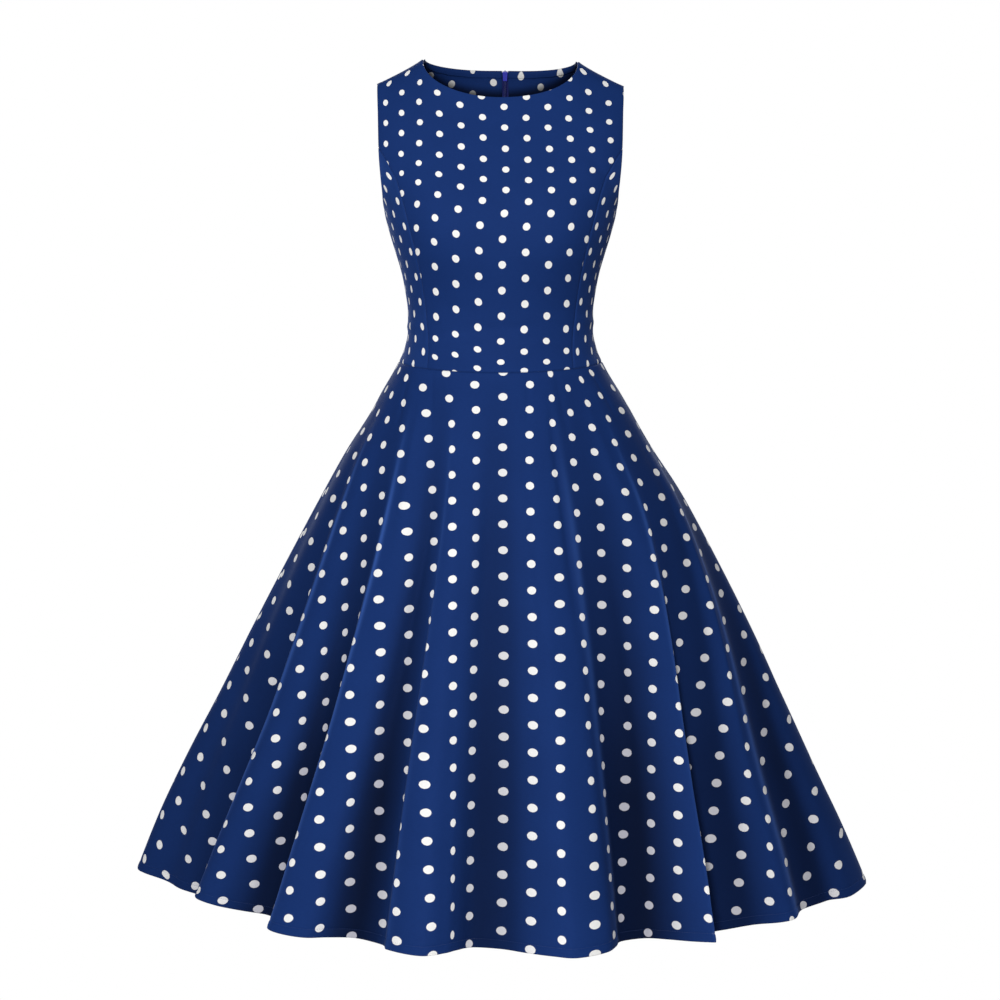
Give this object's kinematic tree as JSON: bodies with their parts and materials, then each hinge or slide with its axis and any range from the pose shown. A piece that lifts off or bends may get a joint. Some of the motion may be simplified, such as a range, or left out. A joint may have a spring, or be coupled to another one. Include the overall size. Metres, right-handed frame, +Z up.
{
  "type": "a-line dress",
  "caption": "Sleeveless knee-to-midi a-line dress with a fitted princess-seam bodice, round neck, flared folded skirt and centre back zip.",
  "frame": {"origin": "midway between the two shoulder seams, at the height of their middles, where the wearer's shoulders hold the dress", "axes": "+Z up along the dress from hem to neck, +X to the right as seen from the front, the front faces -Y"},
  "size_m": [0.9542, 0.7193, 1.0646],
  "materials": {
    "dotted_cloth": "woven navy cloth printed with white dots, soft sheen",
    "facing_cloth": "the same dotted cloth, faced inside the back neck",
    "zip_cloth": "violet-blue woven zip tape",
    "zip_coil": "violet-blue nylon coil",
    "zip_metal": "violet-blue enamelled metal, satin"
  },
  "bodies": {
    "dress": {"bodice_front": "dotted_cloth", "bodice_side_front_left": "dotted_cloth", "bodice_side_front_right": "dotted_cloth", "bodice_back_left": "dotted_cloth", "bodice_back_right": "dotted_cloth", "skirt_front": "dotted_cloth", "skirt_back_left": "dotted_cloth", "skirt_back_right": "dotted_cloth", "neck_facing_back_left": "facing_cloth", "neck_facing_back_right": "facing_cloth", "zip_tape_left": "zip_cloth", "zip_tape_right": "zip_cloth", "zip_coil": "zip_coil", "zip_slider": "zip_metal"},
    "pull_tab": {"zip_pull": "zip_metal"}
  },
  "joints": [
    {"name": "pull_swing", "type": "hinge", "parent": "dress", "child": "pull_tab", "pos_m": [0.006, 0.06424, 0.00204], "axis": [1, 0, 0], "range_deg": [0, 135]}
  ]
}
